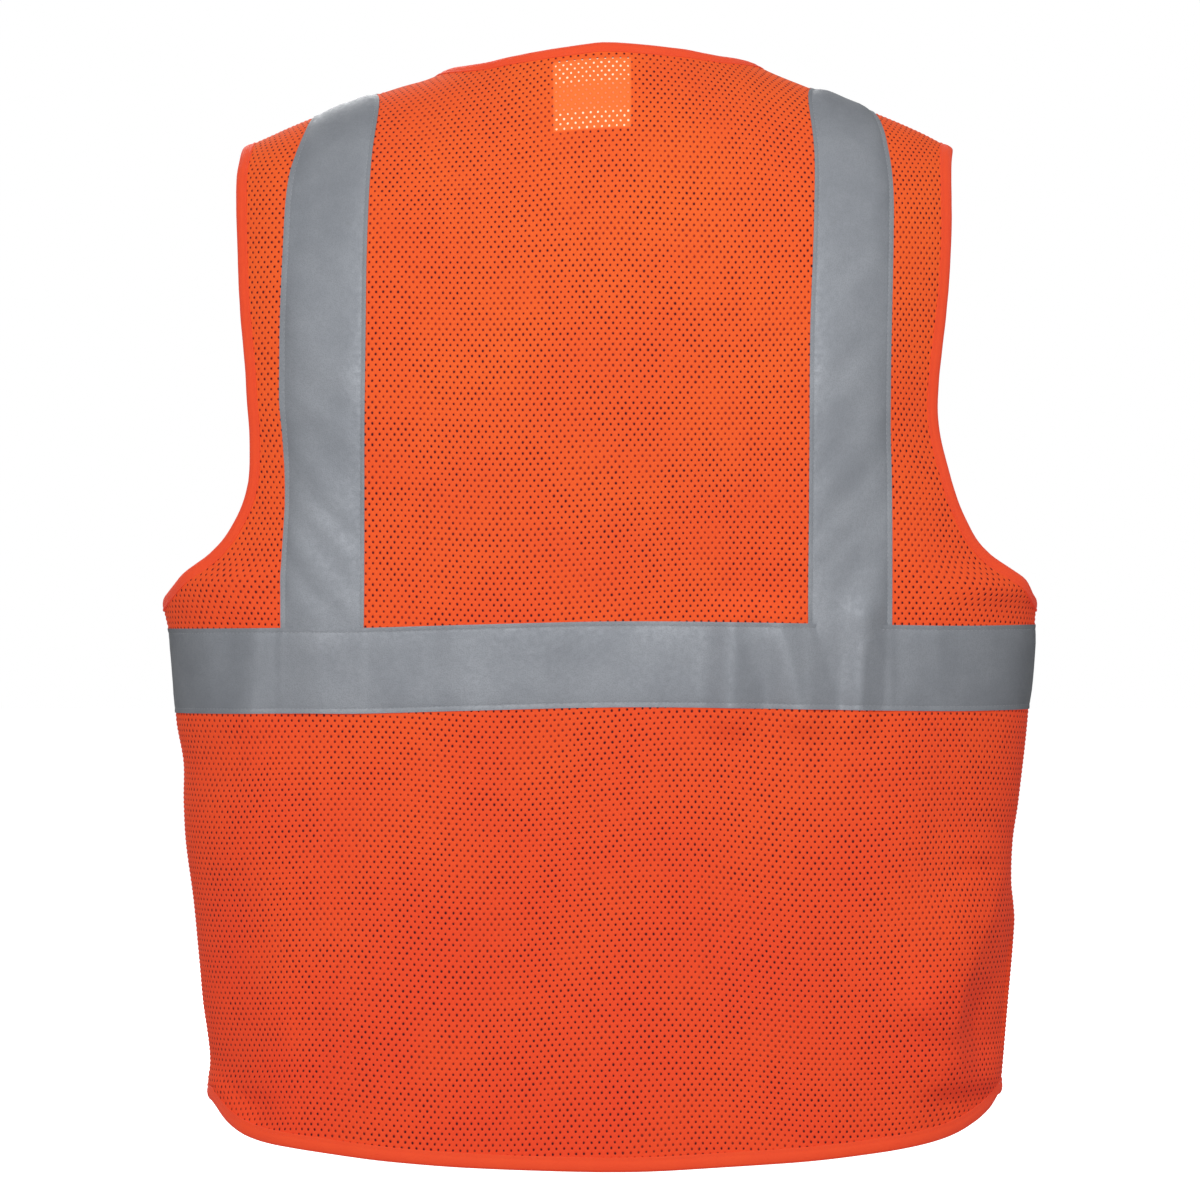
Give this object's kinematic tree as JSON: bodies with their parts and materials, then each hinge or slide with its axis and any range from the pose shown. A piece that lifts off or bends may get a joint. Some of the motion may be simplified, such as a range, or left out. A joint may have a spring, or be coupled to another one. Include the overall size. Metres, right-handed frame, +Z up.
{
  "type": "high visibility vest",
  "caption": "Sleeveless mesh high visibility vest in fluorescent orange with silver reflective tapes, bound edges, patch pockets and a separating front zip.",
  "frame": {"origin": "between the wearer's shoulders, 640 mm above the hem at the centre back", "axes": "+Z up the wearer, +X to the wearer's left, +Y out of the wearer's back; the zip faces -Y"},
  "size_m": [0.536, 0.253, 0.6738],
  "materials": {
    "orange_mesh": "knitted polyester mesh, matt fluorescent orange",
    "orange_binding": "folded polyester binding, soft sheen",
    "silver_tape": "silver glass-bead reflective tape on woven backing, satin grey",
    "zip_cloth": "woven zip tape",
    "zip_plastic": "moulded teeth, satin",
    "zip_metal": "die-cast slider, satin grey",
    "label_cloth": "blank satin care label"
  },
  "bodies": {
    "garment": {"back_panel": "orange_mesh", "left_front_side": "orange_mesh", "right_front_side": "orange_mesh", "back_band": "silver_tape", "left_front_band_side": "silver_tape", "right_front_band_side": "silver_tape", "left_shoulder_tape": "silver_tape", "right_shoulder_tape": "silver_tape", "left_armhole_binding": "orange_binding", "right_armhole_binding": "orange_binding", "neck_binding": "orange_binding", "hem_binding": "orange_binding", "neck_label": "label_cloth"},
    "left_front": {"left_front_flap": "orange_mesh", "left_neck_binding_end": "orange_binding", "left_front_hem_binding": "orange_binding", "left_front_band_flap": "silver_tape", "left_pocket": "orange_mesh", "left_pocket_binding": "orange_binding", "left_zip_tape": "zip_cloth", "left_zip_chain": "zip_plastic", "left_zip_stop": "zip_plastic", "insertion_pin": "zip_plastic"},
    "right_front": {"right_front_flap": "orange_mesh", "right_neck_binding_end": "orange_binding", "right_front_hem_binding": "orange_binding", "right_front_band_flap": "silver_tape", "right_pocket": "orange_mesh", "right_pocket_binding": "orange_binding", "right_zip_tape": "zip_cloth", "right_zip_chain": "zip_plastic", "right_zip_stop": "zip_plastic", "retainer_box": "zip_plastic"},
    "slider": {"zip_slider": "zip_metal"},
    "pull": {"pull_tab": "zip_metal"}
  },
  "joints": [
    {"name": "left_front_opening", "type": "hinge", "parent": "garment", "child": "left_front", "pos_m": [0.17, -0.11323, -0.64], "axis": [-0.2275, -0.0235, 0.9735], "range_deg": [0, 75]},
    {"name": "right_front_opening", "type": "hinge", "parent": "garment", "child": "right_front", "pos_m": [-0.17, -0.11323, -0.64], "axis": [-0.2275, 0.0235, -0.9735], "range_deg": [0, 75]},
    {"name": "slider_travel", "type": "slide", "parent": "right_front", "child": "slider", "axis": [0, 0, 1], "range_m": [0, 0.354]},
    {"name": "pull_swing", "type": "hinge", "parent": "slider", "child": "pull", "pos_m": [-0.004, -0.12245, -0.613], "axis": [-1, 0, 0], "range_deg": [0, 170]}
  ]
}
